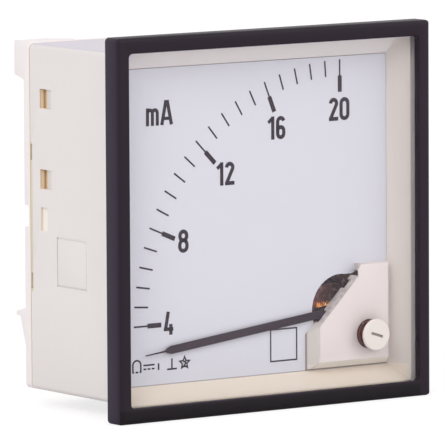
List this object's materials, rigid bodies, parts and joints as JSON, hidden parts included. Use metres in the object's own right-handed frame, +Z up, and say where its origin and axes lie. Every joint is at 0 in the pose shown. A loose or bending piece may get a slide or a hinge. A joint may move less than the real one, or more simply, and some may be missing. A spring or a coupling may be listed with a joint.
{
  "type": "analog panel meter",
  "caption": "Square moving-coil panel meter: a pointer sweeps a corner-pivoted 90 degree scale behind a flat window, with a zero screw and rear terminal studs",
  "frame": {"origin": "centre of the panel seat, on the back face of the bezel", "axes": "+X to the right seen from the front, +Y into the panel, +Z up; the dial faces -Y"},
  "size_m": [0.096, 0.0618, 0.096],
  "materials": {
    "bezel_black": "fine matt moulded black plastic",
    "window_clear": "clear polished plastic",
    "case_cream": "smooth off-white moulded plastic",
    "cover_cream": "smooth off-white moulded plastic",
    "dial_white": "matt white paint on aluminium sheet",
    "print_dark": "matt dark printing ink",
    "steel": "zinc-plated steel",
    "pointer_dark": "matt dark paint on thin aluminium sheet",
    "brass": "turned brass",
    "bare_aluminium": "bare aluminium sheet",
    "copper_wire": "enamelled copper wire",
    "bronze": "bright phosphor bronze",
    "screw_white": "off-white moulded plastic",
    "soft_iron": "dark soft iron",
    "magnet_alloy": "ground magnet alloy",
    "zinc_casting": "as-cast light alloy",
    "board_green": "glass-fibre circuit board with green mask",
    "resistor_body": "lacquered ceramic",
    "wire_red": "red plastic wire insulation"
  },
  "bodies": {
    "meter": {"front_bezel": "bezel_black", "window": "window_clear", "case_shell": "case_cream", "rear_cover": "case_cream", "corner_cover": "cover_cream", "dial_plate": "dial_white", "scale_marks": "print_dark", "dial_screws": "steel", "rear_hairspring": "bronze", "front_bridge": "brass", "bridge_screws": "steel", "front_jewel_screw": "brass", "front_lock_nut": "brass", "rear_jewel_screw": "brass", "rear_lock_nut": "brass", "yoke_ring": "soft_iron", "core_magnet": "magnet_alloy", "core_wedges": "brass", "stop_pins": "bronze", "movement_base": "zinc_casting", "movement_screws": "steel", "spring_tag": "bronze", "circuit_board": "board_green", "resistors": "resistor_body", "lead_wires": "wire_red", "terminal_studs": "brass", "stud_washers": "steel", "stud_nuts": "brass", "wire_washers": "steel", "wire_nuts": "brass"},
    "moving_coil": {"pointer": "pointer_dark", "balance_weight": "brass", "coil_former": "bare_aluminium", "coil_winding": "copper_wire", "front_pivot": "steel", "rear_pivot": "steel"},
    "zero_corrector": {"zero_screw": "screw_white", "zero_screw_clip": "steel"},
    "spring_lever": {"zero_lever": "bronze", "front_hairspring": "bronze"}
  },
  "joints": [
    {"name": "pointer_swing", "type": "hinge", "parent": "meter", "child": "moving_coil", "pos_m": [0.0256, 0.0049, -0.02495], "axis": [0, 1, 0], "range_deg": [0, 101], "stiffness_Nm_per_rad": 0.00001, "deforming": ["rear_hairspring"]},
    {"name": "zero_turn", "type": "hinge", "parent": "meter", "child": "zero_corrector", "pos_m": [0.03175, -0.0036, -0.0314], "axis": [0, 1, 0], "range_deg": [-40, 40]},
    {"name": "lever_turn", "type": "hinge", "parent": "meter", "child": "spring_lever", "pos_m": [0.0256, 0.004, -0.02495], "axis": [0, 1, 0], "range_deg": [-4.1, 4.1]}
  ],
  "couplings": [
    {"joint": "lever_turn", "follows": "zero_turn", "ratio": 0.10126}
  ]
}
